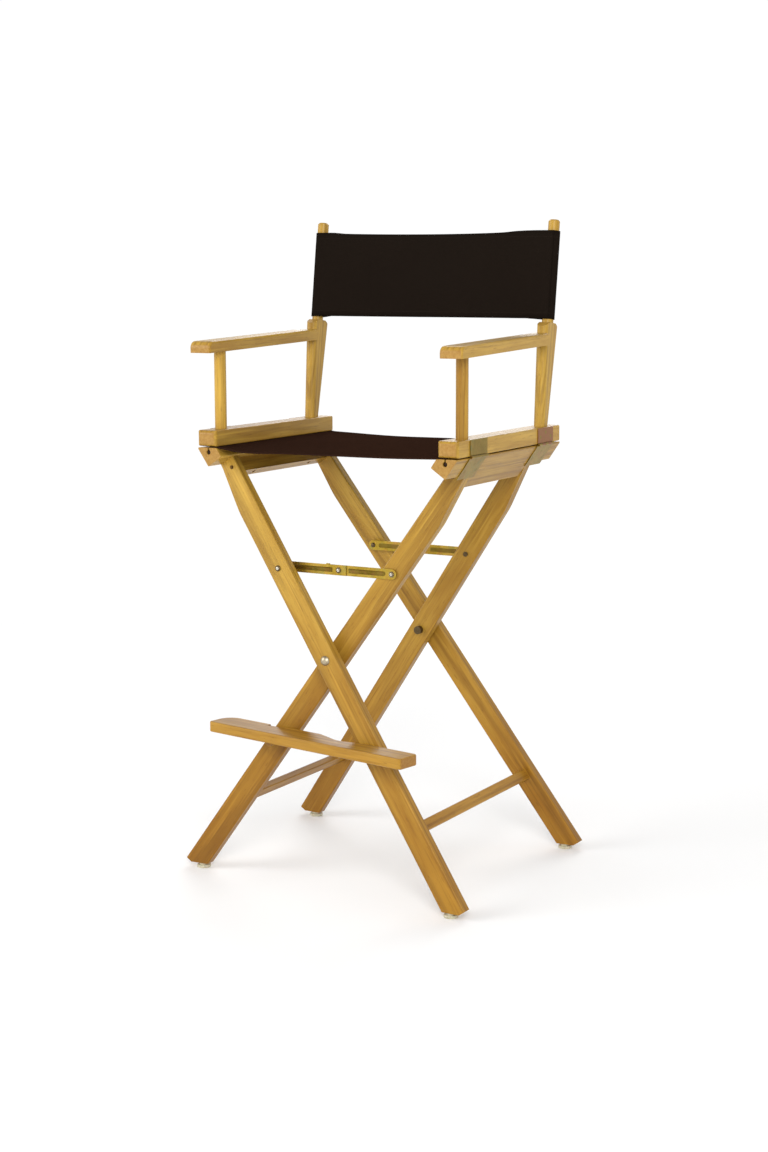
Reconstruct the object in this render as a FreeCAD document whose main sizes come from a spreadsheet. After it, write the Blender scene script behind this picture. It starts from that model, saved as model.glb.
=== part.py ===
import FreeCAD, Part
import os

# Folding high director chair, millimetres, +Z up, front towards -Y.  Sizes along Y are measured from the
# middle of the legs; origin_shift then puts the origin under the middle of the outline, footrest included.
# Two leg frames cross like scissors on two bolts along Y.  The outer frame carries the left seat rail,
# the inner frame the right one.  An arm assembly is hinged on the outer edge of each seat rail.

doc = FreeCAD.newDocument("director_chair")
V = FreeCAD.Vector
AXIS_X, AXIS_Y, AXIS_Z = V(1, 0, 0), V(0, 1, 0), V(0, 0, 1)

# ---------------------------------------------------------------- driving dimensions
DIMENSIONS = {
    # overall
    "origin_shift": 21.4, "overall_depth": 482.6, "overall_height": 1155.7, "seat_height": 762.0,
    # leg frames: lean in the XZ plane, splay of the legs inside their own frame
    "lean": 34.5, "pivot_height": 405.0, "splay": 5.1,
    "leg_width": 41.0, "leg_thick": 20.0, "frame_step": 35.2,
    "leg_up": 399.0, "leg_down": 485.9, "leg_ease": 2.5, "top_taper": 99.0, "top_straight": 7.0,
    "foot_flat": 9.0, "glide_radius": 12.5, "glide_disc": 5.5, "glide_neck": 8.5, "glide_inset": 14.0,
    # seat rail section, measured outwards from the frame's middle plane
    "rail_outer": 9.0, "rail_inner": 23.4, "rail_length": 402.0, "rail_ease": 2.0,
    "groove_bore": 4.25, "groove_slot": 3.5, "groove_x": 233.0, "groove_z": 754.0, "hem_dowel": 2.8,
    # apron board under the seat rail, and the stretcher near the floor
    "apron_thick": 20.0, "apron_bottom": 372.0, "apron_lap": 8.0, "apron_shoulder": 12.0,
    "stretcher_level": 328.0, "stretcher_height": 20.0, "stretcher_thick": 13.0,
    # pivot bolts
    "bolt_radius": 4.0, "bolt_head": 8.5, "running_gap": 0.08, "spacer_radius": 9.0, "spacer_length": 13.2,
    # folding braces
    "brace_up": 183.4, "link_width": 18.0, "link_thick": 1.4, "link_tail": 15.0, "lug_out": 25.0, "lug_length": 7.0, "link_front": 151.5,
    "link_gap": 0.2, "rivet_radius": 2.5, "rivet_head": 4.5, "rivet_rise": 1.2,
    # arm assembly
    "canvas_gap": 2.0, "arm_rail_outer": 256.3, "arm_rail_width": 38.0, "arm_rail_height": 28.0,
    "post_x": 239.0, "front_post_y": 152.0, "front_post_radius": 10.5,
    "back_post_y": 152.8, "rake": 7.8, "back_post_thick": 21.0, "back_post_low": 13.0, "back_post_high": 26.0,
    "shoulder_up": 175.7, "shoulder_rise": 8.0, "back_dowel_radius": 10.25, "dowel_chamfer": 2.5,
    "armrest_top": 946.15, "armrest_thick": 20.0, "armrest_width": 42.0, "armrest_mid_x": 245.0,
    "armrest_front": 206.0, "armrest_length": 359.0, "armrest_rise": 1.8, "armrest_nose": 12.0,
    "armrest_notch_y": 128.0,
    # butt hinges between seat rail and arm rail
    "hinge_pin": 1.3, "hinge_barrel": 2.6, "hinge_length": 62.0, "hinge_front": 127.0, "hinge_back": 134.0, "leaf_thick": 1.6,
    "leaf_up": 26.0, "leaf_down": 44.0, "hinge_height": 763.0, "leaf_screw": 1.6, "leaf_screw_head": 3.2,
    # footrest
    "footrest_top": 274.0, "footrest_thick": 19.0, "footrest_skew": 10.3, "footrest_front": 244.4,
    "footrest_deep": 190.5, "footrest_shallow": 198.2, "footrest_waist": 208.6, "footrest_left": 199.0, "footrest_right": 242.0,
    "footrest_bolt_x": 96.6, "footrest_bolt_radius": 3.0, "peg_radius": 5.0, "peg_x": 106.8,
    # canvas
    "canvas_thick": 1.4, "sleeve_low": 980.0, "sleeve_high": 1134.0, "sleeve_outer": 12.2, "sleeve_inner": 10.6,
}

sheet = doc.addObject("Spreadsheet::Sheet", "dims")
for row, (alias, number) in enumerate(DIMENSIONS.items(), start=1):
    sheet.set("A%d" % row, alias.replace("_", " "))
    sheet.set("B%d" % row, repr(number))
    sheet.setAlias("B%d" % row, alias)
doc.recompute()


def D(text):
    """Turn words of an expression such as 'leg_width / 2' into references to the sheet."""
    out = text
    for alias in sorted(DIMENSIONS, key=len, reverse=True):
        out = out.replace("{" + alias + "}", "<<dims>>." + alias)
    return out


def value(text):
    """The number that an expression gives now."""
    result = sheet.evalExpression(D(text))
    return float(getattr(result, "Value", result))


def bind(obj, **properties):
    """Bind properties of obj to expressions."""
    for name, text in properties.items():
        obj.setExpression(name.replace("__", "."), D(str(text)))


def place(obj, x="0", y="0", z="0", axis=AXIS_Z, turn="0"):
    """Bind an object's Placement: where it stands and how far it is turned about one axis."""
    obj.Placement = FreeCAD.Placement(V(0, 0, 0), FreeCAD.Rotation(axis, value(turn) or 1e-9))
    bind(obj, Placement__Base__x=x, Placement__Base__y="%s + {origin_shift}" % y, Placement__Base__z=z)
    if value(turn):
        bind(obj, Placement__Rotation__Angle=turn)
    return obj


# ---------------------------------------------------------------- Part Design helpers
def new_body(name):
    return doc.addObject("PartDesign::Body", name)


def new_sketch(body, role, name):
    """A sketch on one of the body's own origin planes."""
    sketch = body.newObject("Sketcher::SketchObject", name)
    plane = [feature for feature in body.Origin.OriginFeatures if feature.Role == role][0]
    sketch.AttachmentSupport = (plane, [""])
    sketch.MapMode = "FlatFace"
    return sketch


def polygon(sketch, corners):
    """A closed outline whose every corner is bound to two expressions, across and up."""
    import Sketcher
    spots = [V(value(across), value(up), 0) for across, up in corners]
    count = len(spots)
    for number in range(count):
        sketch.addGeometry(Part.LineSegment(spots[number], spots[(number + 1) % count]), False)
    for number in range(count):
        sketch.addConstraint(Sketcher.Constraint("Coincident", number, 2, (number + 1) % count, 1))
    for number, (across, up) in enumerate(corners):
        for kind, text, spot in (("DistanceX", across, spots[number].x), ("DistanceY", up, spots[number].y)):
            index = sketch.addConstraint(Sketcher.Constraint(kind, -1, 1, number, 1, spot))
            sketch.setExpression("Constraints[%d]" % index, D(text))
    return sketch


def pad(body, sketch, length, name="pad"):
    """Extrude a sketch by the same amount to both sides."""
    feature = body.newObject("PartDesign::Pad", name)
    feature.Profile = sketch
    feature.SideType = "Symmetric"
    bind(feature, Length=length)
    doc.recompute()
    return feature


def pocket(body, sketch, name="pocket"):
    """Cut a sketch through everything, both ways, and make sure that it cut."""
    before = body.Shape.Volume
    feature = body.newObject("PartDesign::Pocket", name)
    feature.Profile = sketch
    feature.SideType = "Symmetric"
    feature.Type = "ThroughAll"
    doc.recompute()
    if body.Shape.Volume > before - 1.0:
        raise RuntimeError("the pocket %s of %s cuts nothing" % (name, body.Name))
    return feature


def ease(body, wanted, radius, name="eased_edges"):
    """Round the edges of the body's last feature that wanted(edge) picks."""
    base = body.Tip
    names = ["Edge%d" % (n + 1) for n, edge in enumerate(base.Shape.Edges) if wanted(edge)]
    feature = body.newObject("PartDesign::Fillet", name)
    feature.Base = (base, names)
    bind(feature, Radius=radius)
    doc.recompute()
    if feature.Shape.isNull() or not feature.Shape.isValid() or feature.Shape.Volume < 0.5 * base.Shape.Volume:
        raise RuntimeError("fillet %s of %s failed" % (name, body.Name))
    return feature


def direction(edge):
    first, last = edge.Vertexes[0].Point, edge.Vertexes[-1].Point
    along = last.sub(first)
    return along.normalize() if along.Length > 1e-6 else along


def runs_along(axis, slack=0.99):
    return lambda edge: abs(direction(edge).dot(axis)) > slack


# ---------------------------------------------------------------- Part helpers
def rod(name, x, y, z, radius, length, axis="y", turn=None):
    """A round bar that starts at a point and runs along +X, +Y or +Z."""
    bar = doc.addObject("Part::Cylinder", name)
    bind(bar, Radius=radius, Height=length)
    axes = {"x": (AXIS_Y, "90"), "y": (AXIS_X, "-90"), "z": (AXIS_Z, "0")}
    about, angle = turn or axes[axis]
    return place(bar, x, y, z, about, angle)


def block(name, x, y, z, length, width, height, axis=AXIS_Z, turn="0"):
    """A box from its low corner."""
    box = doc.addObject("Part::Box", name)
    bind(box, Length=length, Width=width, Height=height)
    return place(box, x, y, z, axis, turn)


def fuse(name, shapes):
    joined = doc.addObject("Part::MultiFuse", name)
    joined.Shapes = shapes
    doc.recompute()
    return joined


def cut(name, base, tools):
    """Base less every tool; refuses a cut that takes nothing away."""
    tool = tools[0] if len(tools) == 1 else fuse(name + "_tools", tools)
    doc.recompute()
    result = doc.addObject("Part::Cut", name)
    result.Base = base
    result.Tool = tool
    doc.recompute()
    if result.Shape.Volume > base.Shape.Volume - 0.01:
        raise RuntimeError("%s: nothing was cut away" % name)
    return result


def group(name, solids):
    """Separate solids that share one node, such as a set of screws."""
    together = doc.addObject("Part::Compound", name)
    together.Links = solids
    doc.recompute()
    return together


parts = {}


def keep(label, obj):
    """Give a finished sub-part its name."""
    obj.Label = label
    parts[label] = obj
    return obj


# ---------------------------------------------------------------- the two leg frames
# side is the sign of X on which the frame's seat rail lies: the outer frame leans left (-1), the inner
# frame right (+1).  In a frame's own coordinates X is square to the frame, outwards under the seat rail
# being side * X, and Z runs up along the legs from the pivot.
SIN_LEAN, COS_LEAN, TAN_SPLAY = "sin({lean})", "cos({lean})", "tan({splay})"
HALF_LEG = "({leg_thick} / 2 / cos({splay}))"
OUTER_PLANE = "({overall_depth} / 2 - {leg_down} * %s - %s)" % (TAN_SPLAY, HALF_LEG)
INNER_PLANE = "(%s - {frame_step})" % OUTER_PLANE


def in_frame(obj, side, x="0", y="0", z="0"):
    """Place an object made in the frame's own coordinates; x, y and z are an offset in them."""
    place(obj, "(%s) * cos({lean}) + %d * (%s) * sin({lean})" % (x, side, z), y,
          "{pivot_height} + (%s) * cos({lean}) - %d * (%s) * sin({lean})" % (z, side, x),
          AXIS_Y, "%d * {lean}" % side)
    return obj


def up_at_height(height, outward):
    """How far up the frame a level height lies, at a distance outwards from its middle plane."""
    return "(({%s} - {pivot_height} + (%s) * sin({lean})) / cos({lean}))" % (height, outward)


def plane_at(plane, up, end):
    """Y of a leg's middle at a distance up the frame; end is -1 in front and +1 behind."""
    return "(%d * (%s - (%s) * %s))" % (end, plane, up, TAN_SPLAY)


def leg(label, side, end, plane, holes):
    body = new_body(label + "_body")
    top, bottom = plane_at(plane, "{leg_up}", end), plane_at(plane, "0 - {leg_down}", end)
    board = polygon(new_sketch(body, "YZ_Plane", label + "_board"), [
        (top + " - " + HALF_LEG, "{leg_up}"), (top + " + " + HALF_LEG, "{leg_up}"),
        (bottom + " + " + HALF_LEG, "0 - {leg_down}"), (bottom + " - " + HALF_LEG, "0 - {leg_down}")])
    pad(body, board, "{leg_width}")
    half = "{leg_width} / 2"
    taper = polygon(new_sketch(body, "XZ_Plane", label + "_taper"), [
        ("%d * (%s + 5)" % (side, half), "{leg_up} + 5"), ("%d * {rail_outer}" % side, "{leg_up} + 5"),
        ("%d * {rail_outer}" % side, "{leg_up} - {top_straight}"),
        ("%d * %s" % (side, half), "{leg_up} - {top_taper}"),
        ("%d * (%s + 5)" % (side, half), "{leg_up} - {top_taper}")])
    pocket(body, taper, label + "_taper_cut")
    foot = [("%d * (%s + 5)" % (side, half), up_at_height("foot_flat", half + " + 5")),
            ("0 - %d * (%s + 5)" % (side, half), up_at_height("foot_flat", "0 - %s - 5" % half)),
            ("0 - %d * (%s + 5)" % (side, half), "0 - {leg_down} - 60"),
            ("%d * (%s + 5)" % (side, half), "0 - {leg_down} - 60")]
    pocket(body, polygon(new_sketch(body, "XZ_Plane", label + "_foot"), foot), label + "_foot_cut")
    long_way = V(0, -end * value(TAN_SPLAY), 1).normalize()
    ease(body, lambda edge: edge.Length > 250 and abs(direction(edge).dot(long_way)) > 0.98, "{leg_ease}")
    in_frame(body, side)
    return keep(label, cut(label, body, holes))


def leg_hole(label, side, end, plane, up, radius):
    """A bore along Y through a leg, at a distance up the frame."""
    return rod(label, "%d * (%s) * sin({lean})" % (side, up), plane_at(plane, up, end) + " - 20",
               "{pivot_height} + (%s) * cos({lean})" % up, radius, "40")


def leg_screws(label, side, end, plane):
    """Two wood screws along Y through a leg's top into the apron: (screws, holes)."""
    screws, holes = [], []
    for number, (outward, down) in enumerate((("0 - 9", "16"),)):
        up = "({leg_up} - %s)" % down
        across = "(%d * (%s))" % (side, outward)
        x = "%s * cos({lean}) + %d * %s * sin({lean})" % (across, side, up)
        z = "{pivot_height} + %s * cos({lean}) - %d * %s * sin({lean})" % (up, side, across)
        face = "(%s + %d * %s)" % (plane_at(plane, up, end), end, HALF_LEG)
        for kind, gap, store in (("screw", "0", screws), ("hole", "0.05", holes)):
            head = rod("%s_%s_head_%d" % (label, kind, number), x, "%s - %s" % (face, "2.5" if end > 0 else "0 - 0.5"),
                       z, "3.6 + " + gap, "2 + " + gap)
            if kind == "hole":
                head = rod("%s_%s_mouth_%d" % (label, kind, number), x,
                           "%s - %s" % (face, "2.55" if end > 0 else "3"), z, "3.65", "5.55")
            shank = rod("%s_%s_shank_%d" % (label, kind, number), x,
                        "%s - %s" % (face, "40" if end > 0 else "0 - 2.4"), z, "2 + " + gap, "37.6")
            store.append(fuse("%s_%s_%d" % (label, kind, number), [head, shank]))
    return screws, holes


def tongue_half(plane):
    """Half the length of the tongue on an apron's top edge."""
    return "(%s - {leg_up} * %s - %s - {apron_shoulder})" % (plane, TAN_SPLAY, HALF_LEG)


def seat_rail(label, side, plane, extra_holes):
    body = new_body(label + "_body")
    outer, inner = "%d * {rail_outer}" % side, "0 - %d * {rail_inner}" % side
    section = polygon(new_sketch(body, "XZ_Plane", label + "_section"), [
        (outer, "{leg_up}"), (outer, up_at_height("seat_height", "{rail_outer}")),
        (inner, up_at_height("seat_height", "0 - {rail_inner}")), (inner, "{leg_up}")])
    pad(body, section, "{rail_length}")
    ease(body, runs_along(AXIS_Y), "{rail_ease}")
    in_frame(body, side)
    x = "%d * {groove_x}" % side
    start = "0 - {rail_length} / 2 - 2"
    tools = [rod(label + "_bore", x, start, "{groove_z}", "{groove_bore}", "{rail_length} + 4"),
             block(label + "_slot", x + " - {groove_slot} / 2", start, "{groove_z}",
                   "{groove_slot}", "{rail_length} + 4", "{seat_height} - {groove_z} + 3")]
    housing = block(label + "_housing", "0", "0", "0", "{apron_thick} + 0.1",
                    "2 * %s + 0.2" % tongue_half(plane), "{apron_lap} + 1")
    low = "{rail_outer} - {apron_thick} - 0.05" if side > 0 else "0 - {rail_outer} - 0.05"
    in_frame(housing, side, low, "0 - %s - 0.1" % tongue_half(plane), "{leg_up} - 1")
    return keep(label, cut(label, body, tools + [housing] + extra_holes))


def apron(label, side, plane, screw_holes):
    """The board between a frame's legs, let into the seat rail above it."""
    body = new_body(label + "_body")
    shoulder = "({leg_up} - 0.1)"
    low_half = "(%s - {apron_bottom} * %s - %s - 0.1)" % (plane, TAN_SPLAY, HALF_LEG)
    high_half = "(%s - {leg_up} * %s - %s - 0.1)" % (plane, TAN_SPLAY, HALF_LEG)
    lap_half = tongue_half(plane)
    outline = polygon(new_sketch(body, "YZ_Plane", label + "_outline"), [
        ("0 - " + low_half, "{apron_bottom}"), (low_half, "{apron_bottom}"), (high_half, shoulder),
        (lap_half, shoulder), (lap_half, "{leg_up} + {apron_lap} - 0.1"),
        ("0 - " + lap_half, "{leg_up} + {apron_lap} - 0.1"), ("0 - " + lap_half, shoulder),
        ("0 - " + high_half, shoulder)])
    pad(body, outline, "{apron_thick}")
    in_frame(body, side, "%d * ({rail_outer} - {apron_thick} / 2)" % side)
    return keep(label, cut(label, body, screw_holes))


def apron_screws(label, side):
    """Two long screws up through the apron into the rail: (screws, holes)."""
    screws, holes = [], []
    for number, y in enumerate((-94, 94)):
        for kind, gap, store in (("screw", 0.0, screws), ("hole", 0.05, holes)):
            head = doc.addObject("Part::Cylinder", "%s_%s_head_%d" % (label, kind, number))
            bind(head, Radius="3.8 + %s" % gap, Height="3 + %s" % (gap * 32))
            shank = doc.addObject("Part::Cylinder", "%s_%s_shank_%d" % (label, kind, number))
            bind(shank, Radius="2.1 + %s" % gap, Height="%s" % (36 + 10 * gap))
            across = "%d * ({rail_outer} - {apron_thick} / 2)" % side
            in_frame(head, side, across, str(y), "{apron_bottom} + 1.5 - %s" % (3 * gap * 10))
            in_frame(shank, side, across, str(y), "{apron_bottom} + 3.5")
            store.append(fuse("%s_%s_%d" % (label, kind, number), [head, shank]))
    return screws, holes


def stretcher(label, side, plane):
    """The bar between a frame's feet."""
    body = new_body(label + "_body")
    low, high = "({stretcher_level} + {stretcher_height} / 2)", "({stretcher_level} - {stretcher_height} / 2)"
    low_half = "(%s + %s * %s - %s - 0.1)" % (plane, low, TAN_SPLAY, HALF_LEG)
    high_half = "(%s + %s * %s - %s - 0.1)" % (plane, high, TAN_SPLAY, HALF_LEG)
    outline = polygon(new_sketch(body, "YZ_Plane", label + "_outline"), [
        ("0 - " + low_half, "0 - " + low), (low_half, "0 - " + low),
        (high_half, "0 - " + high), ("0 - " + high_half, "0 - " + high)])
    pad(body, outline, "{stretcher_thick}")
    ease(body, lambda edge: edge.Length > 200, "{rail_ease}")
    return keep(label, in_frame(body, side))


def glide(label, side, end, plane):
    """A turned plastic foot on the level flat of a leg's end; side is the frame's, the foot is opposite."""
    x = "0 - %d * (({pivot_height} - {foot_flat}) * tan({lean}) + {leg_width} / 2 / cos({lean}) " \
        "- {leg_width} / cos({lean}) + {glide_inset})" % side
    y = plane_at(plane, "0 - {leg_down} + 12", end)
    disc = rod(label + "_disc", x, y, "0", "{glide_radius}", "{glide_disc}", "z")
    disc_edge = doc.addObject("Part::Fillet", label + "_disc_edge")
    disc_edge.Base = disc
    doc.recompute()
    disc_edge.Edges = [(n + 1, 1.5, 1.5) for n, e in enumerate(disc.Shape.Edges) if e.Closed]
    neck = rod(label + "_neck", x, y, "1", "{glide_neck}", "{foot_flat} - 1", "z")
    return keep(label, fuse(label, [disc_edge, neck]))


def hem_dowel(label, side):
    return keep(label, rod(label, "%d * {groove_x}" % side, "0 - {rail_length} / 2 + 2", "{groove_z}",
                           "{hem_dowel}", "{rail_length} - 4"))


# ---------------------------------------------------------------- butt hinges
BARREL_X = "({arm_rail_outer} + {hinge_barrel})"
KNUCKLE = "({hinge_length} / 5)"


def knuckles(label, side, y, own, web):
    """The barrel pieces numbered in own, each with its web."""
    pieces = []
    for number in own:
        start = "%s - {hinge_length} / 2 + %d * %s + 0.15" % (y, number, KNUCKLE)
        pieces.append(rod("%s_knuckle_%d" % (label, number), "%d * %s" % (side, BARREL_X), start,
                          "{hinge_height}", "{hinge_barrel}", KNUCKLE + " - 0.3"))
        pieces.append(web("%s_web_%d" % (label, number), start))
    return pieces


def leaf_bore(label, side, y):
    return rod(label + "_pin_bore", "%d * %s" % (side, BARREL_X), "%s - {hinge_length} / 2 - 2" % y,
               "{hinge_height}", "{hinge_pin} + 0.05", "{hinge_length} + 4")


SCREW_ROWS = (-21, 0, 21)


def upper_leaf(label, side, y):
    """A leaf on the outer face of the arm rail: (leaf, screws, holes for the rail)."""
    left = "{arm_rail_outer} + 0.02" if side > 0 else "0 - {arm_rail_outer} - 0.02 - {leaf_thick}"
    clear = "{hinge_height} + {hinge_barrel} + 0.4"
    plate = block(label + "_plate", left, "%s - {hinge_length} / 2" % y, clear,
                  "{leaf_thick}", "{hinge_length}", "{leaf_up}")

    def web(name, start):
        return block(name, left, start, "{hinge_height}", "{leaf_thick}", KNUCKLE + " - 0.3",
                     "{hinge_barrel} + 0.6")
    body = fuse(label + "_blank", [plate] + knuckles(label, side, y, (1, 3), web))
    screws, rail_holes, leaf_holes = [], [], [leaf_bore(label, side, y)]
    for number, offset in enumerate(SCREW_ROWS):
        z = "%s + {leaf_up} * %s" % (clear, "0.38" if offset else "0.68")
        at = "%s + %d" % (y, offset)
        flush = "%d * ({arm_rail_outer} + {leaf_thick})" % side
        inwards = (AXIS_Y, "-90") if side > 0 else (AXIS_Y, "90")
        head = rod("%s_screw_head_%d" % (label, number), flush, at, z, "{leaf_screw_head}", "1.5", turn=inwards)
        shank = rod("%s_screw_shank_%d" % (label, number), flush, at, z, "{leaf_screw}", "13", turn=inwards)
        screws.append(fuse("%s_screw_%d" % (label, number), [head, shank]))
        out = "%d * ({arm_rail_outer} + {leaf_thick} + 1)" % side
        leaf_holes.append(rod("%s_leaf_hole_%d" % (label, number), out, at, z, "{leaf_screw_head} + 0.05",
                              "{leaf_thick} + 2", turn=inwards))
        rail_holes.append(rod("%s_rail_hole_%d" % (label, number), out, at, z, "{leaf_screw} + 0.05",
                              "15", turn=inwards))
    return cut(label + "_leaf", body, leaf_holes), screws, rail_holes


def lower_leaf(label, side, y):
    """A leaf on the leaning outer face of the seat rail: (leaf, screws, holes for the rail)."""
    top = "(({arm_rail_outer} + {hinge_barrel}) * sin({lean}) + ({hinge_height} - {pivot_height}) * cos({lean}))"
    clear = "(%s - {hinge_barrel} - 0.5)" % top
    low_side = "{rail_outer} + 0.02" if side > 0 else "0 - {rail_outer} - 0.02 - {leaf_thick}"
    plate = block(label + "_plate", "0", "0", "0", "{leaf_thick}", "{hinge_length}", "{leaf_down}")
    in_frame(plate, side, low_side, "%s - {hinge_length} / 2" % y, clear + " - {leaf_down}")

    def web(name, start):
        piece = block(name, "0", "0", "0", "{leaf_thick}", KNUCKLE + " - 0.3", "{hinge_barrel} + 0.8")
        return in_frame(piece, side, low_side, start, clear + " - 0.3")
    body = fuse(label + "_blank", [plate] + knuckles(label, side, y, (0, 2, 4), web))
    screws, rail_holes, leaf_holes = [], [], [leaf_bore(label, side, y)]
    for number, offset in enumerate(SCREW_ROWS):
        up = "%s - {leaf_down} * %s" % (clear, "0.62" if offset else "0.3")
        for kind, radius, depth, proud, store in (
                ("head", "{leaf_screw_head}", "1.5", "0", None), ("shank", "{leaf_screw}", "12", "0", None),
                ("leaf_hole", "{leaf_screw_head} + 0.05", "{leaf_thick} + 2", "1", leaf_holes),
                ("rail_hole", "{leaf_screw} + 0.05", "14", "1", rail_holes)):
            piece = doc.addObject("Part::Cylinder", "%s_%s_%d" % (label, kind, number))
            bind(piece, Radius=radius, Height=depth)
            outward = "%d * ({rail_outer} + {leaf_thick} + %s)" % (side, proud)
            in_frame(piece, side, outward, "%s + %d" % (y, offset), up)
            piece.setExpression("Placement.Rotation.Angle", D("%d * {lean} - %d * 90" % (side, side)))
            if store is not None:
                store.append(piece)
            elif kind == "head":
                head = piece
            else:
                screws.append(fuse("%s_screw_%d" % (label, number), [head, piece]))
    return cut(label + "_leaf", body, leaf_holes), screws, rail_holes


def hinge_set(word, side):
    """The two hinges of one side: lower and upper leaves, pins and screws, and the rails' holes."""
    seat_holes, arm_holes, low_leaves, high_leaves, pins, low_screws, high_screws = [], [], [], [], [], [], []
    for place_word, y in (("front", "0 - {hinge_front}"), ("back", "{hinge_back}")):
        name = "%s_%s_hinge" % (word, place_word)
        leaf, screws, holes = lower_leaf(name + "_low", side, y)
        low_leaves.append(leaf)
        low_screws += screws
        seat_holes += holes
        leaf, screws, holes = upper_leaf(name + "_high", side, y)
        high_leaves.append(leaf)
        high_screws += screws
        arm_holes += holes
        pins.append(rod(name + "_pin", "%d * %s" % (side, BARREL_X), "%s - {hinge_length} / 2 - 0.4" % y,
                        "{hinge_height}", "{hinge_pin}", "{hinge_length} + 0.8"))
    keep(word + "_hinge_lower_leaves", group(word + "_hinge_lower_leaves", low_leaves))
    keep(word + "_hinge_upper_leaves", group(word + "_hinge_upper_leaves", high_leaves))
    keep(word + "_hinge_pins", group(word + "_hinge_pins", pins))
    keep(word + "_seat_rail_hinge_screws", group(word + "_seat_rail_hinge_screws", low_screws))
    keep(word + "_arm_rail_hinge_screws", group(word + "_arm_rail_hinge_screws", high_screws))
    return seat_holes, arm_holes


# ---------------------------------------------------------------- build the frames
FRAMES = (
    # word, rail side, frame name, foot side, plane of the legs
    ("left", -1, "outer", "right", OUTER_PLANE),
    ("right", 1, "inner", "left", INNER_PLANE),
)
arm_rail_holes = {}
for word, side, frame_name, foot_word, plane in FRAMES:
    leg_screw_set, screw_holes_front, screw_holes_back = [], [], []
    screws, screw_holes_front = leg_screws("%s_front_leg" % frame_name, side, -1, plane)
    leg_screw_set += screws
    screws, screw_holes_back = leg_screws("%s_back_leg" % frame_name, side, 1, plane)
    leg_screw_set += screws
    apron_screw_set, apron_holes = apron_screws("%s_apron" % word, side)
    for end_word, end, leg_screw_holes in (("front", -1, screw_holes_front), ("back", 1, screw_holes_back)):
        label = "%s_%s_leg" % (frame_name, end_word)
        holes = [leg_hole(label + "_pivot_hole", side, end, plane, "0", "{bolt_radius} + {running_gap}"),
                 leg_hole(label + "_brace_hole", side, end, plane, "{brace_up}", "{rivet_radius} + {running_gap}")]
        if end < 0 and side < 0:
            holes.append(rod(label + "_footrest_hole", "{footrest_bolt_x}", "0 - 225",
                             "{footrest_top} - {footrest_thick} / 2",
                             "{footrest_bolt_radius} + {running_gap}", "40"))
        if end < 0 and side > 0:
            holes.append(rod(label + "_peg_hole", "0 - {peg_x}", "0 - 195",
                             "{footrest_top} - {footrest_thick} - {peg_radius} - 0.1",
                             "{peg_radius} + 0.05", "24"))
        leg(label, side, end, plane, holes + leg_screw_holes)
        glide("%s_%s_glide" % (foot_word, end_word), side, end, plane)
    seat_holes, arm_rail_holes[word] = hinge_set(word, side)
    seat_rail("%s_seat_rail" % word, side, plane, seat_holes + apron_holes)
    apron("%s_apron" % word, side, plane, screw_holes_front + screw_holes_back + apron_holes + seat_holes)
    stretcher("%s_stretcher" % foot_word, side, plane)
    hem_dowel("%s_seat_dowel" % word, side)
    keep("%s_frame_screws" % word, group("%s_frame_screws" % word, leg_screw_set + apron_screw_set))

# pivot bolts along Y: round head outside, shank, spacer between the legs and a cap nut inside
for end_word, end in (("front", -1), ("back", 1)):
    outside = "(%s + %s + 1)" % (OUTER_PLANE, HALF_LEG)
    inside = "(%s - %s - 1)" % (INNER_PLANE, HALF_LEG)
    low = "0 - " + outside if end < 0 else inside + " - 8"
    shank = rod("%s_bolt_shank" % end_word, "0", low, "{pivot_height}", "{bolt_radius}",
                "%s - %s + 8" % (outside, inside))
    dome = doc.addObject("Part::Sphere", "%s_bolt_dome" % end_word)
    bind(dome, Radius="{bolt_head} + 2")
    place(dome, "0", "%d * (%s - 6)" % (end, outside), "{pivot_height}")
    trim_low = "0 - %s - 20" % outside if end < 0 else outside
    trim = block("%s_bolt_trim" % end_word, "0 - 20", trim_low, "{pivot_height} - 20", "40", "20", "40")
    head = doc.addObject("Part::Common", "%s_bolt_head" % end_word)
    head.Base, head.Tool = dome, trim
    keep("%s_pivot_bolt" % end_word, fuse("%s_pivot_bolt" % end_word, [shank, head]))
nuts, spacers = [], []
for end_word, end in (("front", -1), ("back", 1)):
    inside = "(%s - %s - 1)" % (INNER_PLANE, HALF_LEG)
    low = "0 - " + inside if end < 0 else inside + " - 9"
    blank = rod("%s_nut_blank" % end_word, "0", low, "{pivot_height}", "{bolt_head} - 1", "9")
    hole_low = "0 - %s - 1" % inside if end < 0 else inside + " - 8.05"
    nuts.append(cut("%s_nut" % end_word, blank,
                    [rod("%s_nut_thread" % end_word, "0", hole_low, "{pivot_height}", "{bolt_radius} + 0.05", "9.05")]))
    middle = "%d * (%s + %s) / 2" % (end, OUTER_PLANE, INNER_PLANE)
    tube = rod("%s_spacer_blank" % end_word, "0", "%s - {spacer_length} / 2" % middle, "{pivot_height}",
               "{spacer_radius}", "{spacer_length}")
    spacers.append(cut("%s_spacer" % end_word, tube,
                       [rod("%s_spacer_hole" % end_word, "0", "%s - 10" % middle, "{pivot_height}",
                            "{bolt_radius} + 0.05", "20")]))
keep("pivot_cap_nuts", group("pivot_cap_nuts", nuts))
keep("pivot_spacers", group("pivot_spacers", spacers))

# ---------------------------------------------------------------- folding braces
BRACE_X = "({brace_up} * sin({lean}))"
BRACE_Z = "({pivot_height} + {brace_up} * cos({lean}))"


def between(end, near, far):
    """Low Y of a layer that lies between two distances from the chair's middle; near is the smaller."""
    return "0 - (%s)" % far if end < 0 else "(%s)" % near


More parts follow.
